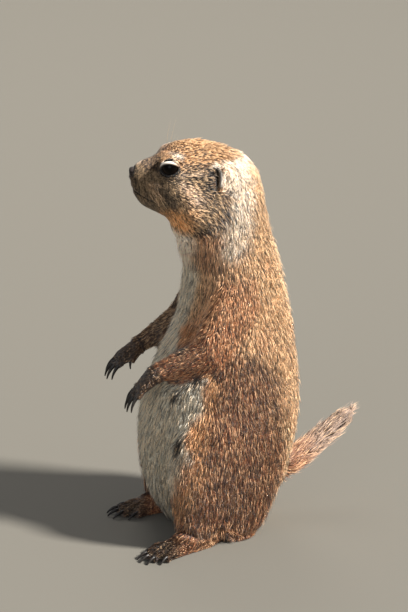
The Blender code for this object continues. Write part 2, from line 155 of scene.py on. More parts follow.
# How far round from the front the belly's white goes, in degrees, at heights in millimetres.
WHITE_HEIGHTS = (0, 32, 47, 62, 75, 81, 96, 105, 113, 125, 138, 155, 175, 208, 225)
WHITE_DEGREES = (22, 30, 36, 38, 35, 36, 42, 44, 47, 42, 29, 28, 31, 33, 40)


def srgb(red, green, blue):
    """A colour seen on a screen as the light that it stands for."""
    seen = np.array([red, green, blue]) / 255
    return np.where(seen <= 0.04045, seen / 12.92, ((seen + 0.055) / 1.055) ** 2.4)


CINNAMON = srgb(208, 140, 92)
RUFOUS = srgb(190, 112, 64)
ORANGE = srgb(208, 146, 86)
TAN = srgb(204, 166, 126)
BEIGE = srgb(246, 208, 162)
CREAM = srgb(250, 241, 227)
WHITE = srgb(232, 226, 208)
GREY = srgb(168, 162, 148)
ASH = srgb(222, 196, 176)
SLATE = srgb(84, 78, 74)
OLIVE = srgb(150, 126, 96)
UMBER = srgb(92, 62, 40)
DARK = srgb(44, 33, 24)
BLACK = srgb(16, 12, 10)
PINK = srgb(198, 168, 150)

# How strongly the face's markings carry on over the neck.
NECK_SHARE = 0.999

# Strokes of colour on each side of the head. Each has its colour, the places that it runs
# through, forward and up, its width, its strength, and its shares of pale and dark hairs.
NECK_STROKES = (
    (CREAM, ((-22, 6), (-25, -8), (-24, -26), (-20, -46)), 7.5, 1.5, 0.7, 0.0),
    (CINNAMON * 0.85, ((-6, -40), (-4, -56), (-8, -72)), 8, 0.8, 0.42, 0.36),
)
CHEEK_STROKES = (
    (TAN, ((8, -10), (0, -20), (-8, -24)), 8, 0.55, 0.36, 0.4),
    (ASH, ((9, 2), (3, -3), (0, -8)), 4.8, 0.7, 0.42, 0.28),
    (ASH, ((22, 9), (6, 10), (-4, 10)), 2, 0.5, 0.4, 0.3),
    (SLATE, ((26, -2), (20, -8), (16, -14)), 4, 0.5, 0.3, 0.4),
    (TAN, ((36, 2), (30, -4), (27, -12)), 2.5, 0.55, 0.45, 0.25),
    (UMBER * 0.8, ((-7, 0), (-6, -8)), 3.2, 0.9, 0.15, 0.5),
)
RUFF_STROKES = (
    (UMBER, ((-17, -2), (-19, -14), (-18, -21), (-9, -29), (1, -32)), 3.4, 0.85, 0.2, 0.5),
    (UMBER, ((13, 13), (2, 14), (-8, 14)), 1.8, 0.75, 0.25, 0.5),
)
# Sharp lines under the ruff, from the eye to the ear and over the eye.
SHARP_STROKES = (
    (DARK, ((-13, -27), (-7, -30.5), (2, -32.5)), 1.3, 0.9, 0.05, 0.6),
    (BLACK, ((21, 5.4), (10, 6.4), (-1, 7.6)), 1.0, 0.9, 0.1, 0.7),
    (DARK, ((9, 5.4), (3, 3.2)), 0.7, 0.7, 0.1, 0.5),
    (CREAM, ((16.5, 20.6), (12, 19.6)), 1.7, 0.85, 0.4, 0.1),
)
BROW_STROKES = (
    (CREAM, ((26, 20.5), (22.5, 22.6), (19, 22.8)), 1.1, 0.9, 0.4, 0.1),
    (BLACK, ((26, 22.6), (20, 25.2), (14.5, 26)), 1.3, 0.6, 0.15, 0.5),
)

# A long hair is a blade bent at its middle and pointed at both ends, and a short one is a spike.
# Each has its triangles, and its corners' places across and along its patch of the map.
BLADE = (
    np.array([(2, 1, 0), (3, 2, 0), (1, 3, 0), (1, 2, 4), (2, 3, 4), (3, 1, 4)]),
    np.array([(0, -0.5), (-0.5, 0), (0.5, 0), (0, 0), (0, 0.5)]),
)
SPIKE = (
    np.array([(0, 2, 1), (0, 1, 3), (1, 2, 3), (2, 0, 3)]),
    np.array([(-0.5, -0.5), (0.5, -0.5), (0, -0.5), (0, 0.5)]),
)


def norms(vectors):
    """The length of each vector."""
    return np.linalg.norm(vectors, axis=1)


def unit(vectors):
    """The vectors at length one."""
    return vectors / np.maximum(np.linalg.norm(vectors, axis=-1, keepdims=True), 1e-12)


def along_skin(ways, normals):
    """The ways laid flat along the skin, at length one."""
    return unit(ways - normals * (ways * normals).sum(axis=1, keepdims=True))


def step(low, high, x):
    """Nought below low, one above high, and smooth between."""
    t = np.clip((x - low) / (high - low), 0, 1)
    return t * t * (3 - 2 * t)


def fall(low, high, x):
    """One below low, nought above high, and smooth between."""
    return 1 - step(low, high, x)


def hump(x, middle, width):
    """One at the middle, falling off smoothly over the width."""
    return np.exp(-(((x - middle) / width) ** 2))


def stroke(x, y, path, width):
    """One along a path of straight lines, falling off smoothly over the width."""
    nearest = np.full(len(x), 1e9)
    for (x0, y0), (x1, y1) in zip(path, path[1:]):
        span = (x1 - x0) ** 2 + (y1 - y0) ** 2
        share = np.clip(((x - x0) * (x1 - x0) + (y - y0) * (y1 - y0)) / span, 0, 1)
        nearest = np.minimum(nearest, np.hypot(x - x0 - share * (x1 - x0), y - y0 - share * (y1 - y0)))
    return hump(nearest, 0, width)


def waves(places, size, seed):
    """A smooth random field over places in metres, about -1 to 1, with lumps of a size in millimetres."""
    rng = np.random.default_rng(seed)
    count = 14
    total = np.zeros(len(places))
    for _ in range(count):
        way = unit(rng.normal(size=3)) * 2 * math.pi / (size * MM) * rng.uniform(0.5, 1.3)
        total += np.sin(places @ way + rng.uniform(0, 2 * math.pi))
    return total / math.sqrt(count)


def rounds(number):
    return int(number * (FULL_VOXEL / VOXEL) ** 2)


def node_middle(name):
    """The middle of a node's box."""
    low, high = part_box(name)
    return (low + high) / 2


def head_frame():
    """The head's middle, and its axes forward, left and up, from the eyes."""
    left_eye, right_eye = node_middle("eye_left"), node_middle("eye_right")
    left = (left_eye - right_eye).normalized()
    forward = left.cross(Vector((0, 0, 1)))
    middle = (left_eye + right_eye) / 2 - forward * EYE_PLACE[0] * MM - Vector((0, 0, EYE_PLACE[2] * MM))
    return np.array(middle), np.array([forward, left, (0, 0, 1)])


HEAD_MIDDLE, HEAD_AXES = head_frame()
HEAD_FORWARD, HEAD_LEFT, HEAD_UP = HEAD_AXES


def on_head(places):
    """Places in metres as millimetres forward, left and up from the head's middle."""
    return ((places - HEAD_MIDDLE) @ HEAD_AXES.T / MM).T


def from_head(forward, left, up):
    """A place on the head, in metres."""
    return HEAD_MIDDLE + np.array([forward, left, up]) @ HEAD_AXES * MM


def read(items, field, width, kind=float):
    """A field of a mesh's items as an array, with so many numbers to a row."""
    flat = np.empty(len(items) * width, kind)
    items.foreach_get(field, flat)
    return flat.reshape(-1, width)


def triangles_of(mesh):
    """The mesh's triangles, as the numbers of their corners."""
    mesh.calc_loop_triangles()
    return read(mesh.loop_triangles, "vertices", 3, np.int64)


def put_corners(mesh, places):
    """Moves the mesh's vertices to the places."""
    mesh.vertices.foreach_set("co", np.ascontiguousarray(places, np.float32).ravel())
    mesh.update()


def face_normals(places, faces):
    """Each face's normal, at twice its area."""
    a, b, c = (places[faces[:, k]] for k in range(3))
    return np.cross(b - a, c - a)


def normals_of(places, faces):
    """Each vertex's normal, weighted by its faces' areas."""
    across = face_normals(places, faces)
    total = np.stack([
        sum(np.bincount(faces[:, k], across[:, i], len(places)) for k in range(3)) for i in range(3)
    ], 1)
    return unit(total)


def spread(values, edges, times, share=0.5):
    """Values on the vertices evened out with their neighbours', a number of times over."""
    values = np.array(values, float)
    flat = values.reshape(len(values), -1)
    a, b = edges.T
    count = len(flat)
    near = np.maximum(np.bincount(a, minlength=count) + np.bincount(b, minlength=count), 1)
    share = np.broadcast_to(share, (count,))
    for _ in range(times):
        for k in range(flat.shape[1]):
            column = flat[:, k]
            mean = (np.bincount(a, column[b], count) + np.bincount(b, column[a], count)) / near
            flat[:, k] = column + share * (mean - column)
    return flat.reshape(values.shape)


def mesh_of(name, bm):
    """A mesh with the bmesh's shape, which is freed."""
    mesh = bpy.data.meshes.new(name)
    bm.to_mesh(mesh)
    bm.free()
    return mesh


def new_object(name, data):
    """An object in the scene."""
    obj = bpy.data.objects.new(name, data)
    bpy.context.scene.collection.objects.link(obj)
    return obj


def settle(obj):
    """Applies the object's modifiers."""
    graph = bpy.context.evaluated_depsgraph_get()
    mesh = bpy.data.meshes.new_from_object(obj.evaluated_get(graph))
    obj.modifiers.clear()
    obj.data = mesh
    return obj


def dress(obj, made):
    """Gives the object one material in place of what it had."""
    obj.data.materials.clear()
    obj.data.materials.append(made)


def welded(name):
    """A node's mesh with its split corners joined, and swollen a little."""
    bm = bmesh.new()
    bm.from_mesh(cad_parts[name].data)
    bmesh.ops.remove_doubles(bm, verts=bm.verts, dist=0.001 * MM)
    bm.normal_update()
    for corner in bm.verts:
        corner.co += corner.normal * JOIN * MM
    return bm


def fused_flesh():
    """One closed surface round every node of flesh, with the eyes and nose to fill their sockets."""
    whole = bmesh.new()
    for name in [*FLESH, "eye_left", "eye_right", "nose"]:
        part = mesh_of("part", welded(name))
        whole.from_mesh(part)
        bpy.data.meshes.remove(part)
    skin = new_object("skin", mesh_of("skin", whole))
    remesh = skin.modifiers.new("fuse", "REMESH")
    remesh.mode = "VOXEL"
    remesh.voxel_size = VOXEL * MM
    return settle(skin)


def nearest_nodes(places):
    """For each place, the number in FLESH of the node it lies on, and a tree of the solids."""
    points, faces, owner = [], [], []
    for number, name in enumerate(FLESH):
        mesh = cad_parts[name].data
        start = len(points)
        points += [v.co for v in mesh.vertices]
        found = [[start + k for k in p.vertices] for p in mesh.polygons]
        faces += found
        owner += [number] * len(found)
    tree = BVHTree.FromPolygons(points, faces)
    return np.array(owner)[[tree.find_nearest(p)[2] for p in places.tolist()]], tree


def by_node(labels, values, rest=0):
    """A value for each vertex from its node's name, matched by the name's first words."""
    table = []
    for name in FLESH:
        match = [v for key, v in values.items() if name.startswith(key)]
        table.append(match[0] if match else rest)
    return np.array(table, float)[labels]


def eye_middle(side):
    """The middle of an eyeball, in metres."""
    return from_head(EYE_PLACE[0], side * EYE_PLACE[1], EYE_PLACE[2])


def eye_places(places, side):
    """Places round an eye: towards the nose and up along the opening, and out from its middle."""
    out = unit(np.array(EYE_WAY) * (1, side, 1) @ HEAD_AXES)
    up = unit(HEAD_UP - out * out[2])
    ahead = np.cross(up, out)
    ahead *= np.sign(ahead @ HEAD_FORWARD)
    along = ahead * math.cos(EYE_TILT) - up * math.sin(EYE_TILT)
    above = up * math.cos(EYE_TILT) + ahead * math.sin(EYE_TILT)
    away = (places - eye_middle(side)) / MM
    return away @ along - EYE_AHEAD, away @ above + EYE_DROP, away @ out


def eye_opening(x, y):
    """Under one inside the lids, one on their edge and over one outside: an almond."""
    height = np.where(y > 0, EYE_ABOVE, EYE_BELOW)
    return (np.abs(x) / EYE_LENGTH) ** 2 + (np.abs(y) / height) ** 1.4


def shape_eyes(places):
    """Carves the lids' openings down past the eyeballs, and rounds the lids' edges."""
    lid = EYE_RADIUS + 0.75
    socket = EYE_RADIUS - 1.1
    for side in SIDES.values():
        x, y, out = eye_places(places, side)
        gap = eye_opening(x, y)
        front = step(0.5, 2.5, out) * (np.hypot(x, y) < 16)
        away = (places - eye_middle(side)) / MM
        far = norms(away)
        way = away / np.maximum(far, 1e-9)[:, None]
        # Close round the opening the skin hugs the eyeball, and further out it keeps its form.
        hug = front * fall(1.0, 2.6, gap)
        target = far * (1 - hug) + lid * hug
        rim = front * hump(gap, 1.6, 0.4) * np.where(y > 0, 0.5, 0.3)
        crease = front * hump(gap, 2.6, 0.5) * 0.3
        inside = front * fall(0.84, 1.06, gap)
        target = target + rim - crease
        target = target * (1 - inside) + socket * inside
        places = places + way * ((target - far) * (front > 0))[:, None] * MM
    return places


def mouth_line(forward):
    """How high the mouth runs at each place along the muzzle."""
    return -6.5 - 0.42 * (44 - forward)


def lip_groove(strength, forward, left, up, width):
    """The strength along the groove from the nose down to the lips, and nought beside it."""
    return strength * hump(left, 0, width) * step(40, 43, forward) * step(-9, -6, up) * fall(1, 3, up)


def shape_face(places, normals):
    """Carves the folds of the mouth, cheeks and nose into the skin of the head."""
    forward, left, up = on_head(places)
    aside = np.abs(left)
    # The mouth starts under the nose and runs back along each lip.
    sink = 0.9 * hump(up, mouth_line(forward), 1.1) * step(24, 30, forward) * step(0.4, 2.0, aside + 0.6)
    sink += lip_groove(0.8, forward, left, up, 0.9)
    # The fold from under the eye back towards the ear.
    fold = 6.0 + 0.02 * (20 - forward)
    sink += 0.8 * hump(up, fold, 1.0) * step(-6, 0, forward) * fall(17, 23, forward) * (aside > 8)
    # The upper lip slants back below the nose.
    slant = 1.9 * step(36, 46, forward) * fall(0, 4, up)
    places = places - HEAD_FORWARD * slant[:, None] * MM
    # The nose pad sits in a hollow, and the forehead is full between the brows.
    sink += 1.6 * step(-0.15, 0.1, nose_nearness(places)) * step(42, 44, forward)
    sink -= 2.8 * hump(forward, 15, 7.5) * hump(left, -2, 10) * step(15, 21, up)
    return places - normals * sink[:, None] * MM


def ear_places(places, side):
    """Places round an ear: forward, up and outward from its middle."""
    forward, left, up = on_head(places)
    return forward - EAR_PLACE[0], up - EAR_PLACE[2], left * side - EAR_PLACE[1]


def shape_ears(places):
    """Hollows each ear in front of its narrow rim and presses its back down to the neck."""
    for side in SIDES.values():
        ahead, above, out = ear_places(places, side)
        near = (np.hypot(ahead / 9, above / 12) < 1.4) & (out > -8)
        hollow = stroke(ahead, above, EAR_HOLLOW, 2.8)
        rim = stroke(ahead, above, EAR_RIM, 0.85)
        behind = fall(-4, -1.6, ahead) * fall(8, 12, np.abs(above))
        front = step(5.5, 7, ahead) * fall(7, 9, ahead) * fall(8, 11, np.abs(above))
        shift = (1.2 * rim - 3.4 * hollow - 3.2 * behind - 0.6 * front) * near
        outward = side * HEAD_LEFT * 0.94 + HEAD_FORWARD * 0.34
        places = places + outward * shift[:, None] * MM
    return places


def nose_nearness(places):
    """One at the middle of the nose pad, nought at its edge and under nought beyond."""
    offset = np.stack(on_head(places), 1) - NOSE_PAD_PLACE
    return 1 - norms(offset / (np.array(NOSE_PAD_SIZE) + 0.5))


def toe_gaps():
    """The lines between neighbouring toes and fingers, each from between two claws back to the foot."""
    lines = []
    for limb, claw in (("forepaw", "fore_claw"), ("hind_foot", "hind_claw")):
        for side in SIDES:
            middle = node_middle(f"{limb}_{side}")
            claws = [node_middle(f"{claw}_{side}_{number}") for number in range(1, 6)]
            for first, second in zip(claws, claws[1:]):
                tip = (first + second) / 2
                lines.append((np.array(tip), np.array(tip.lerp(middle, 0.72))))
    return lines


def toe_creases(places, normals, width):
    """How deep each place lies in the crease between two toes: nought to one."""
    deep = np.zeros(len(places))
    for start, end in toe_gaps():
        way = end - start
        share = np.clip((places - start) @ way / (way @ way), 0, 1)
        away = (places - start - share[:, None] * way) / MM
        across = away - normals * (away * normals).sum(axis=1, keepdims=True)
        crease = hump(norms(across), 0, width) * (1 - 0.6 * share) * (norms(away) < 7.5)
        deep = np.maximum(deep, crease)
    return deep


def heel_places(places, side):
    """Millimetres back from the middle of a hind foot."""
    return (places[:, 1] - node_middle(f"hind_foot_{side}").y) / MM


def refine(mesh, places):
    """Splits the faces round the eyes, nose, mouth, ears and toes, the eyes' twice."""
    put_corners(mesh, places)
    bm = bmesh.new()
    bm.from_mesh(mesh)
    for turn in range(2):
        places = np.array([corner.co for corner in bm.verts])
        forward, _, up = on_head(places)
        near = np.zeros(len(places), bool)
        for side in SIDES.values():
            x, y, out = eye_places(places, side)
            near |= (np.hypot(x, y * 1.2) < 9.5) & (out > 0)
            if turn == 0:
                ahead, above, aside = ear_places(places, side)
                near |= norms(np.stack([ahead, aside, above], 1)) < 12
        if turn == 0:
            near |= (forward > 26) & (up < 16)
            for start, end in toe_gaps():
                near |= norms(places - (start + end) / 2) < 14 * MM
        bm.verts.ensure_lookup_table()
        edges = [e for e in bm.edges if near[e.verts[0].index] and near[e.verts[1].index]]
        bmesh.ops.subdivide_edges(bm, edges=edges, cuts=1, use_grid_fill=True)
        bm.verts.index_update()
    bmesh.ops.triangulate(bm, faces=bm.faces)
    bm.to_mesh(mesh)
    bm.free()


def make_skin():
    """The fused and smoothed skin, out at the coat's tips, with its finer head."""
    skin = fused_flesh()
    mesh = skin.data
    places = read(mesh.vertices, "co", 3)
    edges = read(mesh.edges, "vertices", 2, np.int64)
    labels, tree = nearest_nodes(places)
    # Broad forms are smoothed most, so that no facet shows, and fingers and ears least.
    soft = by_node(labels, SOFTNESS, 0.3)
    for side in SIDES:
        wrist = node_middle(f"forearm_{side}").lerp(node_middle(f"forepaw_{side}"), 0.7)
        soft = np.maximum(soft, hump(norms(places - np.array(wrist)) / MM, 0, 10))
        heel = by_node(labels, {f"hind_foot_{side}": 1}) * step(-4, 8, heel_places(places, side))
        soft = np.maximum(soft, 0.8 * heel)
    smoothing = rounds(110)
    soft = spread(soft, edges, smoothing // 8 + 2)
    smooth = spread(places, edges, smoothing, 0.5 * soft)
    # What the smoothing took off the whole form goes back on.
    normals = normals_of(smooth, triangles_of(mesh))
    lost = ((places - smooth) * normals).sum(axis=1)
    smooth += normals * spread(lost, edges, smoothing // 2)[:, None]
    flat = places[:, 2] < 1.2 * MM
    smooth[:, 2] = np.where(flat, places[:, 2], smooth[:, 2])
    refine(mesh, smooth)
    places = read(mesh.vertices, "co", 3)
    edges = read(mesh.edges, "vertices", 2, np.int64)
    faces = triangles_of(mesh)
    labels = nearest_nodes(places)[0]
    places = spread(places, edges, 3, 0.4 * by_node(labels, {"head": 1, "ear": 1}))
    return skin, places, edges, faces, labels, tree


def coat_depths(places, labels, edges):
    """How deep the coat is over each vertex, in millimetres."""
    depth = by_node(labels, COAT_DEPTH, 3.0)
    forward, _, up = on_head(places)
    face = 2.6 - 1.9 * step(2, 28, forward)
    cheek = 1.2 * fall(-4, 6, forward) * fall(-6, 2, up)
    depth = np.where(by_node(labels, {"head": 1}) > 0, face + cheek, depth)
    depth = spread(depth, edges, rounds(26))
    return depth * (0.12 + 0.88 * step(0.5, 7.0, places[:, 2] / MM))


def carve(places, edges, faces, depth):
    """Draws the skin in by the coat's depth and carves it. Returns its places and the toes' creases, a
    little wider than carved, for painted shade.
    """
    even = unit(spread(normals_of(places, faces), edges, 6))
    places = places - even * (depth * MM)[:, None]
    places = shape_eyes(spread(places, edges, 2, 0.3))
    normals = normals_of(places, faces)
    places = shape_ears(shape_face(places, normals))
    # The toes' creases are kept, wider than they are carved, to be painted as shade.
    creases = toe_creases(places, normals, 1.9)
    places = places - normals * (2.0 * toe_creases(places, normals, 1.2))[:, None] * MM
    places[:, 2] = np.maximum(places[:, 2], 0)
    return places, creases


def hairy_share(places):
    """One where the coat grows, and nought on the lids, the nose, the sole and in the ears."""
    hairy = np.ones(len(places))
    for side in SIDES.values():
        x, y, out = eye_places(places, side)
        lid = eye_opening(x, y) < np.where(y > 0, 2.3, 1.5)
        hairy = np.where(lid & (out > 0) & (np.hypot(x, y) < 12), 0, hairy)
        ahead, above, ear_out = ear_places(places, side)
        hollow = stroke(ahead, above, EAR_HOLLOW, 2.8) * (np.hypot(ahead, above) < 12) * (ear_out > -9)
        hairy = hairy * fall(0.5, 0.8, hollow)
    hairy = np.where(places[:, 2] < 0.4 * MM, 0, hairy)
    return np.where(nose_nearness(places) > -0.12, 0, hairy)


def hair_sizes(places, labels, edges):
    """How long the hair is on each vertex, and how wide its blades, in millimetres."""
    forward, _, up = on_head(places)
    length = by_node(labels, HAIR_LENGTH, 5)
    face = 6.0 - 4.4 * step(0, 32, forward)
    ruff = 2.6 * fall(-2, 12, forward) * fall(-10, 0, up)
    length = np.where(by_node(labels, {"head": 1}) > 0, face + ruff, length)
    for name in SIDES:
        heel = by_node(labels, {f"hind_foot_{name}": 1}) * step(0, 10, heel_places(places, name))
        length = length + heel * 2
    fringe = by_node(labels, {"haunch": 1}) * fall(14, 40, places[:, 2] / MM)
    length = length + fringe * 5
    # The ears' backs carry the nape's hair.
    for side in SIDES.values():
        ahead, _, out = ear_places(places, side)
        nape = by_node(labels, {"ear": 1}) * fall(-2.5, -1.2, ahead) * (out > -9)
        length = length + nape * 3.5
    length += waves(places, 7, 15) * 0.25
    width = by_node(labels, HAIR_WIDTH, 0.5)
    return spread(length, edges, rounds(12)), spread(width, edges, rounds(12))


def node_ways():
    """Which way the hair lies on each node of FLESH."""
    down = Vector((0, 0, -1))
    tail = node_middle("tail_tip") - node_middle("tail")
    ways = {"head": down, "neck": down, "trunk": down, "tail": tail, "tail_tip": tail}
    for name, side in SIDES.items():
        upper, fore, paw = (node_middle(f"{part}_{name}") for part in ("upper_arm", "forearm", "forepaw"))
        ways[f"upper_arm_{name}"] = (fore - upper).normalized() * 0.35 + Vector((0, 0.1, -0.9))
        ways[f"forearm_{name}"] = paw - fore
        ways[f"forepaw_{name}"] = paw - fore
        ways[f"hind_foot_{name}"] = Vector((0.08 * side, -1, -0.25))
        ways[f"haunch_{name}"] = Vector((0, -0.12, -1))
        ways[f"ear_{name}"] = Vector((0, 0.25, 1))
    return np.array([ways[name].normalized() for name in FLESH])


def lie_of_coat(places, normals, labels, edges):
    """The way the hair lies on each vertex, along the skin."""
    lie = node_ways()[labels]
    forward = on_head(places)[0]
    # On the head the hair runs back from the nose.
    back = (step(-30, 5, forward) * by_node(labels, {"head": 1}))[:, None]
    lie = lie * (1 - back) + unit(places - from_head(*NOSE_TIP)) * back
    lie = along_skin(lie, normals)
    for _ in range(3):
        lie = along_skin(spread(lie, edges, 12), normals)
    return lie


def blend(base, colour, share):
    """The base colours turned towards another by each place's share."""
    share = np.clip(share, 0, 1)[:, None]
    return base * (1 - share) + colour * share


class Paint:
    """A colour on each vertex in linear light, and its shares of pale and dark hairs."""

    def __init__(self, count, colour, pale, dark):
        self.colour = np.tile(colour, (count, 1))
        self.streaks = np.tile([pale, dark], (count, 1))

    def streak(self, share, pale, dark):
        """Turns the shares of pale and dark hairs towards these."""
        self.streaks = blend(self.streaks, np.array([pale, dark]), share)

    def mark(self, colour, share, pale=None, dark=None):
        """Turns the colour towards another, and the shares of hairs with it where they are given."""
        self.colour = blend(self.colour, colour, share)
        if pale is not None:
            self.streak(share, pale, dark)

    def strokes(self, table, mask, x, y):
        """Lays a table of strokes over the places where the mask is."""
        for colour, path, width, strength, pale, dark in table:
            self.mark(colour, mask * stroke(x, y, path, width) * strength, pale, dark)

    def soften(self, edges, times):
        """Evens everything out over the skin."""
        self.colour = spread(self.colour, edges, times)
        self.streaks = spread(self.streaks, edges, times)


def mark_trunk(paint, places, labels):
    """The back, the flanks, the thighs and the white front with its dark spots. The back's paleness is
    partly painted light, and the flank's darkness partly painted shade.
    """
    x, y, z = ((places - np.array(Vector(TRUNK_MIDDLE) * MM)) / MM).T
    # The belly's marks are turned a little to the animal's right above the thighs.
    angle = np.degrees(np.arctan2(x, -y))
    turned = angle + 15 * step(95, 150, z) + 10 * step(195, 225, z) + 20 * hump(z, 134, 14)
    round_front = np.abs((turned + 180) % 360 - 180)
    rough = waves(places, 26, 3)
    fine = waves(places, 7, 4)
    # The back is painted paler: partly its own paler coat and partly painted light where the sun falls on
    # it.
    back = step(72, 115, round_front)
    paint.mark(BEIGE * 0.95, back * 0.75)
    paint.mark(BEIGE * 0.95, step(138, 165, z) * 0.5)
    paint.streak(back, 0.55, 0.12)
    # The lower back beside the tail is painted paler still, as painted light.
    paint.mark(BEIGE * 1.1, back * fall(60, 110, z) * 0.6)
    paint.mark(RUFOUS, step(0.2, 1.4, rough) * 0.3)
    paint.mark(RUFOUS, by_node(labels, {"haunch": 0.6}))
    # The white of the belly and the strip up the chest, which fades through beige.
    half = np.interp(z, WHITE_HEIGHTS, WHITE_DEGREES)
    soft = 4 + 4 * step(135, 160, z)
    front = by_node(labels, {"trunk": 1, "neck": 1, "haunch": 0.9})
    wavy = round_front + rough * 2 + fine * 2
    beige = front * fall(half - soft * 0.2, half + soft * 2, wavy) * step(130, 150, z)
    paint.mark(BEIGE * 0.85, beige * 0.8)
    white = front * fall(half - soft, half + soft * 0.6, wavy)
    fringe = front * hump(round_front, half + 8, 6) * step(10, 30, z) * fall(120, 140, z)
    paint.mark(ORANGE * 1.1, fringe * 0.85)
    paint.mark(WHITE, white, 0.3, 0.12)
    paint.mark(GREY, white * step(0.1, 1.5, fine) * 0.45)
    # The flank and thigh are painted darker and more grizzled than the back and shoulder: partly their own
    # grizzle and partly painted shade where the sun only grazes them.
    dusky_and_shaded = front * step(4, 12, round_front - half) * fall(95, 125, round_front) * fall(118, 140, z)
    paint.mark(RUFOUS * 0.5, dusky_and_shaded * (1 - white) * 0.75)
    paint.streak(dusky_and_shaded, 0.3, 0.4)
    # The spots on the right are mirrored, a little further round.
    for x0, y0, z0, size in BELLY_SPOTS:
        for side in SIDES.values():
            middle = ((x0 - TRUNK_MIDDLE[0]) * side + TRUNK_MIDDLE[0] - 6 * (side < 0), y0, z0)
            spot = hump(norms((places / MM - middle) * (1, 1, 0.55)), 0, size * 0.8) * 1.8
            paint.mark(DARK, spot * 0.9)
            paint.streak(spot, 0.03, 0.7)


def mark_limbs(paint, places, labels, creases):
    """The legs, the creases between toes, the tail and the grey patch inside the elbow, with painted shade
    on the far arm and between the toes and painted light on the right hind foot.
    """
    # The right arm is painted darker olive and umber than the left arm's rufous: painted shade on the far
    # arm.
    paint.mark(RUFOUS, by_node(labels, {"upper_arm_left": 0.6, "forearm_left": 0.9}))
    paint.mark(OLIVE, by_node(labels, {"forearm_right": 0.6, "upper_arm_right": 0.5}))
    paint.mark(UMBER * 0.6, by_node(labels, {"forepaw": 0.9, "forearm_left": 0.2, "forearm_right": 0.65}))
    elbow = hump(norms(places / MM - ELBOW_PATCH), 0, 5.5)
    paint.mark(GREY * 0.7, elbow * 1.1)
    paint.streak(elbow, 0.3, 0.45)
    grizzled = {"forepaw": 1, "forearm_left": 0.35, "forearm_right": 0.6, "hind_foot": 0.7}
    paint.streak(by_node(labels, grizzled), 0.1, 0.5)
    paint.mark(RUFOUS * 0.6, by_node(labels, {"hind_foot": 0.8}))
    # The right hind foot lies in the body's shadow and is painted brighter: painted light.
    paint.mark(RUFOUS * 1.2, by_node(labels, {"hind_foot_right": 0.5}))
    for name in SIDES:
        foot = by_node(labels, {f"hind_foot_{name}": 1})
        back = heel_places(places, name)
        paint.mark(UMBER * 0.7, foot * fall(-16, -4, back) * 0.8)
        paint.mark(CINNAMON * 0.6, foot * step(0, 10, back))
    # The creases between toes are painted black: painted shade.
    paint.mark(BLACK, creases * 1.2)
    tail = by_node(labels, {"tail": 1})
    paint.mark(RUFOUS * 0.47, tail * 0.9)
    paint.streak(tail, 0.16, 0.03)
    paint.mark(ASH * 0.45, tail * step(50, 78, places[:, 1] / MM) * 0.8)


def mark_head(paint, places, labels):
    """The neck, the face and the muzzle. Places f and u give a mark ragged edges."""
    forward, left, up = on_head(places)
    neck = by_node(labels, {"neck": 1, "head": 1})
    head = by_node(labels, {"head": 1, "neck": NECK_SHARE})
    side = neck * step(5, 10, np.abs(left))
    ragged = waves(places, 5, 8) * 1.2
    f, u = forward + ragged, up + ragged
    # The nape and the sides of the neck are cream, and the throat is white below the ruff.
    behind = neck * fall(-20, -12, f) * step(-56, -22, u)
    paint.mark(TAN, behind * 0.9, 0.65, 0.03)
    paint.mark(CREAM, behind * fall(-22, -14, f) * step(-38, -30, f) * 0.7, 0.6, 0.03)
    paint.strokes(NECK_STROKES, side, f, u)
    throat = neck * fall(-38, -30, u) * step(-2, 10, f) * step(-75, -55, u)
    paint.mark(CREAM, throat * 1.3, 0.45, 0.0)
    # The face is orange on the crown and jaw, and brown with grey on the muzzle and the cheek.
    face = head * step(-22, -14, f) * step(-33, -27, u)
    paint.mark(OLIVE, face, 0.36, 0.36)
    crown = face * step(12, 17, u) * fall(26, 34, f)
    paint.mark(ORANGE * 0.5, crown * 0.95, 0.4, 0.25)
    paint.mark(TAN, face * step(6, 14, u) * fall(-12, -6, f) * 0.8, 0.5, 0.08)
    # The crown's colour runs back over the top of the head to the nape.
    top = u - 0.36 * np.abs(left) + 0.45 * (f + 20)
    crown = neck * step(-44, -33, f) * fall(-8, 0, f) * step(5, 12, top)
    paint.mark(ORANGE * 0.45, crown * 0.9, 0.42, 0.2)
    jaw = face * fall(-18, -10, u + 0.25 * (f - 10)) * step(-4, 6, f) * fall(24, 32, f)
    paint.mark(ORANGE * 1.6, jaw * 0.9, 0.42, 0.12)
    paint.strokes(CHEEK_STROKES, side * face, f, u)
    paint.strokes(RUFF_STROKES, side, f, u)
    paint.strokes(SHARP_STROKES, side, forward, up)
    # The brow's lines are weaker on the right, where only their edge shows.
    paint.strokes(BROW_STROKES, (1 - 0.7 * (left < 0)) * side, forward, up)
    # The muzzle's brown top and its dark end.
    paint.mark(UMBER * 0.7, face * step(24, 29, f) * step(9, 12, u) * fall(38, 41, f) * 0.95, 0.14, 0.5)
    paint.mark(RUFOUS * 0.5, face * step(16, 22, f) * fall(27, 31, f) * step(20, 24, u) * 0.7, 0.3, 0.35)
    paint.mark(ASH, face * hump(f, 41.5, 2) * step(10, 13, u) * 0.8, 0.5, 0.1)
    paint.mark(DARK, face * step(40, 44, f) * fall(13, 15, u) * 0.6, 0.2, 0.5)
    paint.mark(BLACK, face * step(-0.3, -0.1, nose_nearness(places)), 0, 0.5)
    # The groove under the nose, the lips, and pink beside the groove.
    paint.mark(BLACK, lip_groove(face, forward, left, up, 0.7) * 0.8)
    lips = hump(up, mouth_line(forward), 0.8) * step(25, 30, forward)
    paint.mark(BLACK, face * lips * 0.85, 0.05, 0.6)
    pink = face * (1 - lips) * hump(left, 0, 4) * step(39, 42, f) * hump(u, -5, 6)
    paint.mark(PINK, pink * 0.7, 0.3, 0.2)


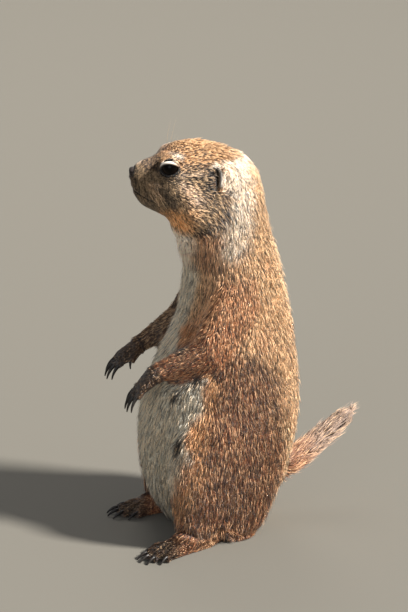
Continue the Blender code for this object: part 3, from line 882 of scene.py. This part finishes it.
def mark_eyes_and_ears(paint, places):
    """Black lids under a cream arc, and painted shade in the ears' hollows inside cream rims."""
    for side in SIDES.values():
        x, y, out = eye_places(places, side)
        gap = eye_opening(x, y)
        near = (out > 1.0) & (np.hypot(x, y) < 14)
        liner = np.where(y > 0, 1.4, 1.9)
        paint.mark(BLACK, near * fall(liner, liner + 0.4, gap), 0, 0.5)
        # The arc is fainter on the right, where it would show on the brow's outline.
        arc = near * (y > 0) * hump(gap, 2.05, 0.38) * hump(x, 0.5, 5.5)
        paint.mark(CREAM, arc * (1.6 if side > 0 else 0.3), 0.6, 0)
        paint.mark(BLACK, near * (y > 0) * hump(gap, 3.1, 0.5) * hump(x, -1.5, 5) * 0.75, 0.1, 0.5)
        corner = hump(y, 0, 1.2) * hump(np.abs(x), EYE_LENGTH + 1.6, 2.4)
        paint.mark(BLACK, near * corner * 0.95, 0, 0.5)
        paint.mark(DARK, near * (y < 0) * hump(gap, 2.9, 0.5) * 0.5, 0.3, 0.4)
        ahead, above, ear_out = ear_places(places, side)
        ear = (np.hypot(ahead, above) < 16) & (ear_out > -9)
        paint.mark(CREAM, ear * fall(-2.4, -1.2, ahead) * hump(above, 2, 9), 0.6, 0.0)
        # The hollow and the skin in front of it are painted black and dark: painted shade in the ear's
        # recess.
        paint.mark(BLACK, ear * stroke(ahead, above, EAR_HOLLOW, 3.3) * 1.3, 0.03, 0.9)
        paint.mark(DARK, ear * stroke(ahead, above, EAR_FRONT, 2.8) * 0.9, 0.1, 0.7)
        paint.mark(CREAM, ear * stroke(ahead, above, EAR_RIM, 0.9) * 1.2, 0.3, 0.0)


def markings(places, labels, edges, creases):
    """The colours of the whole skin and of the coat that grows from it."""
    paint = Paint(len(places), CINNAMON, 0.45, 0.24)
    mark_trunk(paint, places, labels)
    mark_limbs(paint, places, labels, creases)
    paint.soften(edges, 6)
    mark_head(paint, places, labels)
    mark_eyes_and_ears(paint, places)
    return paint


def material(name, roughness, specular, sheen=0.0):
    """A Principled material, with its nodes and its shader."""
    made = bpy.data.materials.new(name)
    made.use_nodes = True
    shader = made.node_tree.nodes["Principled BSDF"]
    shader.inputs["Roughness"].default_value = roughness
    shader.inputs["Specular IOR Level"].default_value = specular
    shader.inputs["Sheen Weight"].default_value = sheen
    return made, made.node_tree, shader


def painted_material(name, roughness, specular, sheen):
    """A material with the colours that are stored on the mesh."""
    made, tree, shader = material(name, roughness, specular, sheen)
    colour = tree.nodes.new("ShaderNodeAttribute")
    colour.attribute_name = "Marking"
    tree.links.new(colour.outputs["Color"], shader.inputs["Base Color"])
    return made, tree, shader


def texture(tree, kind, scale, detail):
    """A texture over the object's own places."""
    node = tree.nodes.new(kind)
    node.inputs["Scale"].default_value = scale
    node.inputs["Detail"].default_value = detail
    place = tree.nodes.new("ShaderNodeTexCoord")
    tree.links.new(place.outputs["Object"], node.inputs["Vector"])
    return node


def roughen(tree, shader, height, strength, depth):
    """Bumps the surface by a texture's output, with a depth in millimetres."""
    bump = tree.nodes.new("ShaderNodeBump")
    bump.inputs["Strength"].default_value = strength
    bump.inputs["Distance"].default_value = depth * MM
    tree.links.new(height, bump.inputs["Height"])
    tree.links.new(bump.outputs["Normal"], shader.inputs["Normal"])


def ramp_base(tree, shader, factor, low, high):
    """Colours the base by a factor, between two stops that each have a position and a colour."""
    ramp = tree.nodes.new("ShaderNodeValToRGB")
    for stop, (position, colour) in zip(ramp.color_ramp.elements, (low, high)):
        stop.position = position
        stop.color = (*colour, 1)
    tree.links.new(factor, ramp.inputs["Fac"])
    tree.links.new(ramp.outputs["Color"], shader.inputs["Base Color"])


def eye_material():
    """A wet, nearly black eye, with a painted sheen: browner where its surface turns away from the view.
    """
    made, tree, shader = material("eye", 0.06, 0.08)
    # The brown rim is a painted sheen that follows the view.
    facing = tree.nodes.new("ShaderNodeLayerWeight")
    facing.inputs["Blend"].default_value = 0.3
    middle, rim = (0, (0.0015, 0.001, 0.001)), (0.7, (0.012, 0.006, 0.003))
    ramp_base(tree, shader, facing.outputs["Facing"], middle, rim)
    return made


def horn_material():
    """Claws: dark horn, paler in places."""
    made, tree, shader = material("horn", 0.34, 0.3)
    noise = texture(tree, "ShaderNodeTexNoise", 420, 2)
    dark, worn = (0.35, (0.012, 0.010, 0.009)), (0.75, (0.035, 0.03, 0.026))
    ramp_base(tree, shader, noise.outputs["Fac"], dark, worn)
    return made


def skin_material():
    """Painted skin with a fine grain."""
    made, tree, shader = painted_material("skin", 0.7, 0.25, 0.1)
    grain = texture(tree, "ShaderNodeTexNoise", 1400, 3)
    roughen(tree, shader, grain.outputs["Fac"], 0.35, 0.2)
    return made


def nose_material():
    """The nose pad: dark bare skin with a fine pebbled grain."""
    made, tree, shader = material("nose pad", 0.55, 0.35)
    shader.inputs["Base Color"].default_value = (0.035, 0.026, 0.022, 1)
    pebbles = texture(tree, "ShaderNodeTexVoronoi", 2600, 0)
    roughen(tree, shader, pebbles.outputs["Distance"], 0.5, 0.12)
    return made


def paint_corners(mesh, colours):
    """Stores a colour on each vertex."""
    layer = mesh.color_attributes.new("Marking", "FLOAT_COLOR", "POINT")
    flat = np.ones((len(mesh.vertices), 4), np.float32)
    flat[:, :3] = colours
    layer.data.foreach_set("color", flat.ravel())


def mesh_from(name, points, faces, uvs, colours):
    """A smooth mesh of triangles, with a colour for each vertex and the coat's map."""
    mesh = bpy.data.meshes.new(name)
    mesh.vertices.add(len(points))
    mesh.vertices.foreach_set("co", np.ascontiguousarray(points, np.float32).ravel())
    mesh.loops.add(faces.size)
    mesh.loops.foreach_set("vertex_index", np.ascontiguousarray(faces, np.int32).ravel())
    mesh.polygons.add(len(faces))
    mesh.polygons.foreach_set("loop_start", np.arange(0, faces.size, 3, dtype=np.int32))
    mesh.polygons.foreach_set("loop_total", np.full(len(faces), 3, np.int32))
    mesh.polygons.foreach_set("use_smooth", np.full(len(faces), True))
    mesh.update(calc_edges=True)
    layer = mesh.uv_layers.new(name="OFBake")
    layer.data.foreach_set("uv", np.ascontiguousarray(uvs[faces.ravel()], np.float32).ravel())
    paint_corners(mesh, colours)
    return mesh


def scatter(places, faces, weight, count, rng):
    """Roots spread evenly over the faces by weight: each one's face and its place in it."""
    area = norms(face_normals(places, faces))
    total = np.cumsum(area * weight[faces].mean(axis=1))
    marks = (np.arange(count) + rng.random(count)) / count * total[-1]
    which = np.minimum(np.searchsorted(total, marks), len(faces) - 1)
    s, t = rng.random((2, count))
    over = s + t > 1
    s[over], t[over] = 1 - s[over], 1 - t[over]
    return which, np.stack([1 - s - t, s, t], 1)


def unwrap(places, faces, chosen):
    """A map of the chosen faces of the skin, one place for each corner, and noughts elsewhere."""
    corner_places = np.zeros((len(faces), 3, 2))
    mesh = bpy.data.meshes.new("unwrap")
    used, index = np.unique(faces[chosen], return_inverse=True)
    mesh.from_pydata(places[used].tolist(), [], index.reshape(-1, 3).tolist())
    obj = new_object("unwrap", mesh)
    bpy.context.view_layer.objects.active = obj
    obj.select_set(True)
    bpy.ops.object.mode_set(mode="EDIT")
    bpy.ops.mesh.select_all(action="SELECT")
    bpy.ops.uv.smart_project(angle_limit=math.radians(60), island_margin=0.002)
    bpy.ops.object.mode_set(mode="OBJECT")
    corner_places[chosen] = read(mesh.uv_layers.active.data, "uv", 2).reshape(-1, 3, 2)
    bpy.data.objects.remove(obj)
    return corner_places


def hair_colours(base, streaks, rng, places, lengths, bent):
    """Each hair's colours from its darker root to its tip, with pale and dark hairs in small clumps. The
    darker roots and middles are partly the hairs' own banding and partly painted shade deep in the coat.
    """
    count = len(base)
    size, clumping, glow = (1.4, 0.4, 0.68) if bent else (1.25, 0.36, 0.52)
    tail = step(38, 46, places[:, 1] / MM)
    clump = waves(places * (1, 1, 0.24), size, 11) * (1 - tail)
    luck = rng.random(count) + clump * clumping
    pale = (luck > 1 - streaks[:, 0])[:, None]
    dark = (luck < streaks[:, 1])[:, None]
    strength = rng.uniform(0.75, 1.0, count)[:, None]
    body = base * (1 + rng.normal(0, 0.14, count))[:, None]
    lighter = body * (1 - strength) + (base * 0.8 + BEIGE * glow) * strength
    darker = body * (1 - strength) + (base * 0.06 + DARK * 0.5) * strength
    tip = np.where(pale, lighter, np.where(dark, darker, body))
    # Middles and roots are darker: partly the hairs' own banding and partly painted shade deep in the
    # coat.
    middle = tip * 0.78
    # Roots are darkest in short dark hair.
    light = 0.25 + 0.3 * step(11, 16, lengths) + 0.4 * base.mean(axis=1) + 0.3 * tail
    root = body * np.clip(light, 0, 1)[:, None]
    if bent:
        return np.stack([root, middle, middle, middle * 1.2, tip * 1.25], 1)
    return np.stack([root, root, middle * 0.7, tip * 0.8], 1)


def add_coat(name, hairs, bent):
    """Closed blades from their roots along the skin to their tips, in pieces of one size."""
    across = unit(np.cross(hairs.normals, hairs.ways))
    half = (hairs.widths / 2)[:, None] * across * MM
    thick = (hairs.widths * THICKNESS)[:, None] * MM
    low = hairs.roots - hairs.normals * ROOT_DEPTH * MM
    tip = hairs.ends + hairs.end_normals * (hairs.lifts * MM)[:, None]
    if bent:
        turning = norms(hairs.end_normals - hairs.normals) * hairs.lengths / 8
        middle_normal = unit(hairs.normals + hairs.end_normals)
        rise = (hairs.lifts * 0.7 + turning) * MM
        middle = hairs.roots * 0.55 + hairs.ends * 0.45 + middle_normal * rise[:, None]
        rings = [low, middle - half, middle + half, middle + middle_normal * thick, tip]
        template, patch = BLADE
    else:
        rings = [low - half, low + half, low + hairs.normals * thick * 1.6, tip]
        template, patch = SPIKE
    points = np.stack(rings, 1)
    points[..., 2] = np.maximum(points[..., 2], 0.15 * MM)
    size = points.shape[1]
    spots = hairs.uvs[:, None, :] + patch[None] * PATCH
    pieces = max(1, math.ceil(len(points) / (PIECE_FACES // len(template))))
    made = []
    for number in range(pieces):
        chosen = slice(number, None, pieces)
        part = points[chosen]
        faces = (template[None] + (np.arange(len(part)) * size)[:, None, None]).reshape(-1, 3)
        mesh = mesh_from(f"{name}_{number + 1}", part.reshape(-1, 3), faces,
                         spots[chosen].reshape(-1, 2), hairs.colours[chosen].reshape(-1, 3))
        made.append(new_object(f"{name}_{number + 1}", mesh))
    return made


def land(tree, aims):
    """The nearest place on the skin to each aim, its normal and its face."""
    places = np.empty_like(aims)
    normals = np.empty_like(aims)
    faces = np.empty(len(aims), int)
    for k, aim in enumerate(aims.tolist()):
        places[k], normals[k], faces[k], _ = tree.find_nearest(aim)
    return places, normals, faces


def stands_out(tree, tips):
    """How far each tip stands out of the solids, in millimetres."""
    out = np.empty(len(tips))
    for k, (x, y, z) in enumerate(tips.tolist()):
        found, normal, _, _ = tree.find_nearest((x, y, z))
        out[k] = (x - found.x) * normal.x + (y - found.y) * normal.y + (z - found.z) * normal.z
    return out / MM


def grow_coat(name, body, weight, count, seed, bent):
    """Grows one kind of hair over the skin, each tip kept close to the solids' outline."""
    rng = np.random.default_rng(seed)
    faces = body.faces
    unwrapped = unwrap(body.places, faces, weight[faces].mean(axis=1) > 0)
    which, share = scatter(body.places, faces, weight, count, rng)

    def at_roots(values):
        """Vertex values read at the roots."""
        picked = values[faces[which]]
        return (picked * share.reshape(share.shape + (1,) * (picked.ndim - 2))).sum(axis=1)

    roots = at_roots(body.places)
    normals = unit(at_roots(body.normals))
    ways = at_roots(body.lie)
    depth, length, width = (at_roots(values) for values in (body.depth, body.length, body.width))
    length = length * rng.uniform(0.65, 1.2, count)
    width = width * rng.uniform(0.7, 1.25, count)
    stray = rng.random(count) < STRAY_SHARE
    lift = depth * rng.uniform(0.7, 1.08, count) + stray * 0.16 * length
    angle = waves(roots, 12, seed + 1) * 0.13 + rng.normal(0, 0.13, count)
    side = np.cross(normals, ways)
    ways = along_skin(unit(ways * np.cos(angle)[:, None] + side * np.sin(angle)[:, None]), normals)
    reach = np.sqrt(np.maximum(length**2 - lift**2, (0.5 * length) ** 2))
    aims = roots + ways * (reach * MM)[:, None]
    ends, end_normals, landed = land(body.tree, aims)
    # A tip past the end of a limb or an edge goes on straight instead.
    past = norms(ends - aims) > 0.35 * reach * MM
    ends[past] = aims[past]
    end_normals[past] = normals[past]
    end_normals = unit(end_normals + normals)
    # A tip that stands out too far is lowered first and then drawn back.
    tips = ends + end_normals * (lift * MM)[:, None]
    out = stands_out(body.outline, tips)
    over = np.clip(out - 0.2 - (0.08 + 0.16 * stray) * length * rng.random(count), 0, 12)
    ends = ends - end_normals * (np.minimum(over, lift * 0.8) * MM)[:, None]
    beyond = np.maximum(over - lift * 0.8, 0)
    ends = ends - ways * (np.minimum(beyond, reach * 0.6) * MM)[:, None]
    # The markings are read where the tips lie, so that they show in their places.
    base = body.paint.colour[faces[landed]].mean(axis=1)
    streaks = body.paint.streaks[faces[landed]].mean(axis=1)
    colours = hair_colours(base, streaks, rng, tips, length, bent)
    uvs = (unwrapped[which] * share[:, :, None]).sum(axis=1)
    hairs = SimpleNamespace(
        roots=roots, normals=normals, ways=ways, ends=ends, end_normals=end_normals,
        lengths=length, widths=width, lifts=lift, colours=colours, uvs=uvs,
    )
    return add_coat(name, hairs, bent)


def add_skin_and_coat():
    """The skin, painted and thinned, and the hair that grows from it. Returns a tree of the skin."""
    skin, places, edges, faces, labels, outline = make_skin()
    depth = coat_depths(places, labels, edges)
    places, creases = carve(places, edges, faces, depth)
    normals = normals_of(places, faces)
    put_corners(skin.data, places)
    skin.data.shade_smooth()
    hairy = hairy_share(places)
    paint = markings(places, labels, edges, creases)
    # Under the hair the skin is in its shade, so it is painted darker there.
    paint_corners(skin.data, paint.colour * (1 - 0.45 * hairy)[:, None])
    thinner = skin.modifiers.new("thinner", "DECIMATE")
    thinner.ratio = min(1.0, SKIN_FACES / len(faces))
    dress(settle(skin), skin_material())
    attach(skin, "root")
    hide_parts(*FLESH)
    tree = BVHTree.FromPolygons(places.tolist(), faces.tolist())
    length, width = hair_sizes(places, labels, edges)
    body = SimpleNamespace(
        places=places, normals=normals, faces=faces, lie=lie_of_coat(places, normals, labels, edges),
        depth=depth, length=length, width=width, paint=paint, tree=tree, outline=outline,
    )
    # Smaller hairs stand closer together.
    long = step(2.3, 4.2, length)
    close = (6 / (width * length)) ** 0.75
    coats = grow_coat("coat_long", body, hairy * long * close, LONG_HAIRS, 21, True)
    coats += grow_coat("coat_short", body, hairy * (1 - long) * close, SHORT_HAIRS, 31, False)
    fur = painted_material("fur", 0.62, 0.25, 0.25)[0]
    for coat in coats:
        dress(coat, fur)
        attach(coat, "root")
    return tree, fur


def add_eyes():
    """Wet, nearly black eyeballs."""
    wet = eye_material()
    for name, side in SIDES.items():
        bm = bmesh.new()
        bmesh.ops.create_uvsphere(bm, u_segments=48, v_segments=32, radius=EYE_RADIUS * MM)
        bmesh.ops.translate(bm, verts=bm.verts, vec=Vector(eye_middle(side)))
        eye = new_object(f"eyeball_{name}", mesh_of(f"eyeball_{name}", bm))
        eye.data.shade_smooth()
        dress(eye, wet)
        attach(eye, "root")
        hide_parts(f"eye_{name}")


def add_nose():
    """The nose pad, with a comma of a nostril on each side and the groove between them."""
    bm = bmesh.new()
    bmesh.ops.create_uvsphere(bm, u_segments=72, v_segments=48, radius=1)
    ways = np.array([corner.co for corner in bm.verts])
    ahead, aside, above = ways[:, 0], np.abs(ways[:, 1]), ways[:, 2]
    pit = stroke(aside, above, NOSTRIL, 0.17)
    groove = hump(aside, 0, 0.09) * fall(-0.1, 0.35, above)
    lobe = hump(aside, 0.6, 0.3) * hump(above, 0.35, 0.3) * 0.08
    size = 1 + lobe - step(0, 0.4, ahead) * (0.5 * pit + 0.18 * groove) - 0.16 * step(0.5, 1, ahead)
    shaped = ways * size[:, None] * NOSE_PAD_SIZE
    # It narrows to the lip below.
    shaped[:, 1] *= 1 - 0.35 * step(0, 1, -above)
    for corner, place in zip(bm.verts, (shaped + NOSE_PAD_PLACE).tolist()):
        corner.co = from_head(*place)
    nose = new_object("nose_pad", mesh_of("nose_pad", bm))
    nose.data.shade_smooth()
    dress(nose, nose_material())
    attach(nose, "root")
    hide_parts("nose")


def add_claws():
    """Finer, rounder claws of dark horn in the places of the solid ones."""
    horn = horn_material()
    for name in sorted(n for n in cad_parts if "claw" in n):
        claw = new_object(f"horn_{name}", mesh_of(f"horn_{name}", welded(name)))
        rounder = claw.modifiers.new("rounder", "SUBSURF")
        rounder.levels = rounder.render_levels = 2
        settle(claw)
        claw.data.shade_smooth()
        dress(claw, horn)
        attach(claw, "root")
        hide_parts(name)


def whisker(root, out, droop, length, thick):
    """The points and faces of one whisker: rings of three corners that taper to a point."""
    across = unit(np.cross(out, droop))
    beside = np.cross(across, out)
    points = []
    for ring in range(WHISKER_RINGS):
        share = ring / WHISKER_RINGS
        centre = root + out * length * (share - 0.05) + droop * length * 0.35 * share**2
        for turn in range(3):
            way = across * math.cos(turn * THIRD_TURN) + beside * math.sin(turn * THIRD_TURN)
            points.append(centre + way * thick * (1 - 0.8 * share) * MM)
    points.append(root + out * length * 0.95 + droop * length * 0.35)
    faces = [(0, 2, 1)]
    for start in range(0, 3 * (WHISKER_RINGS - 1), 3):
        for turn in range(3):
            a, b = start + turn, start + (turn + 1) % 3
            faces += [(a, b, b + 3), (a, b + 3, a + 3)]
    last = 3 * (WHISKER_RINGS - 1)
    faces += [(last + k, last + (k + 1) % 3, last + 3) for k in range(3)]
    return points, np.array(faces)


def add_whiskers(tree, fur):
    """Thin whiskers in rows on the muzzle, and finer ones over each eye."""
    rng = np.random.default_rng(71)
    points, faces, colours, spots = [], [], [], []
    for side in SIDES.values():
        for forward, left, up, long in WHISKERS:
            root, normal, _, _ = tree.find_nearest(Vector(from_head(forward, side * left, up)))
            out = np.array(normal) * 0.75 + np.array([-0.25, side * 0.35, 0.02 * (up - 2)]) @ HEAD_AXES
            out = unit(out + rng.normal(0, 0.06, 3))
            droop = unit(np.array([-0.8, side * 0.2, -0.15 + 0.03 * up]) @ HEAD_AXES)
            length = long * rng.uniform(0.85, 1.15) * MM
            thick = 0.07 if up > 20 else 0.11
            corners, triangles = whisker(np.array(root), out, droop, length, thick)
            faces.append(triangles + len(points))
            points += corners
            # The root is dark, the shaft tan and the tip beige.
            for corner in range(len(corners)):
                ring = corner // 3
                colours.append(DARK if ring < 2 else TAN if ring < WHISKER_RINGS else BEIGE)
                spots.append((0.5 + 0.2 * side, 0.5 + 0.05 * (ring / WHISKER_RINGS)))
    points, spots, colours = (np.array(rows) for rows in (points, spots, colours))
    whiskers = new_object("whiskers", mesh_from("whiskers", points, np.concatenate(faces), spots, colours))
    dress(whiskers, fur)
    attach(whiskers, "root")


def turn_along(obj, way):
    """Turns a camera or a lamp to face along the way."""
    obj.rotation_mode = "QUATERNION"
    obj.rotation_quaternion = way.to_track_quat("-Z", "Y")


def add_camera():
    """The camera at the photograph's angle and framing."""
    level = math.cos(CAMERA_ELEVATION)
    across, ahead = math.sin(CAMERA_AZIMUTH) * level, -math.cos(CAMERA_AZIMUTH) * level
    back = Vector((across, ahead, math.sin(CAMERA_ELEVATION)))
    data = bpy.data.cameras.new("camera")
    data.sensor_width = SENSOR
    data.lens = SENSOR * CAMERA_DISTANCE / (PICTURE_HEIGHT * PIXEL)
    data.clip_start = 0.1
    data.clip_end = 100
    camera = new_object("camera", data)
    camera.location = CAMERA_TARGET + back * CAMERA_DISTANCE
    turn_along(camera, -back)
    bpy.context.scene.camera = camera


def add_light(name, kind, place, way, power, colour):
    """A light that shines along the way."""
    data = bpy.data.lights.new(name, kind)
    data.energy = power
    data.color = colour
    light = new_object(name, data)
    light.location = place
    turn_along(light, way)
    return data


def add_studio():
    """A pale floor, a pale sky, a broad sun from the photograph's side and two weak lamps."""
    bm = bmesh.new()
    bmesh.ops.create_grid(bm, x_segments=2, y_segments=2, size=30)
    floor = new_object("floor", mesh_of("floor", bm))
    made, _, shader = material("floor", 0.8, 0.2)
    shader.inputs["Base Color"].default_value = (0.18, 0.17, 0.145, 1)
    dress(floor, made)
    world = bpy.data.worlds.new("studio")
    bpy.context.scene.world = world
    world.use_nodes = True
    sky = world.node_tree.nodes["Background"]
    sky.inputs["Color"].default_value = (0.93, 0.95, 1.0, 1)
    sky.inputs["Strength"].default_value = 0.3
    sun = add_light("sun", "SUN", SUN_WAY, -SUN_WAY, SUN_STRENGTH, (1.0, 0.96, 0.91))
    sun.angle = SUN_WIDTH
    for name, (place, width, power, colour) in LAMPS.items():
        lamp = add_light(name, "AREA", place, LAMP_TARGET - Vector(place), power, colour)
        lamp.shape = "DISK"
        lamp.size = width
    bpy.context.scene.view_settings.view_transform = "Standard"


add_camera()
add_studio()
skin_tree, fur_painted = add_skin_and_coat()
add_eyes()
add_nose()
add_claws()
add_whiskers(skin_tree, fur_painted)
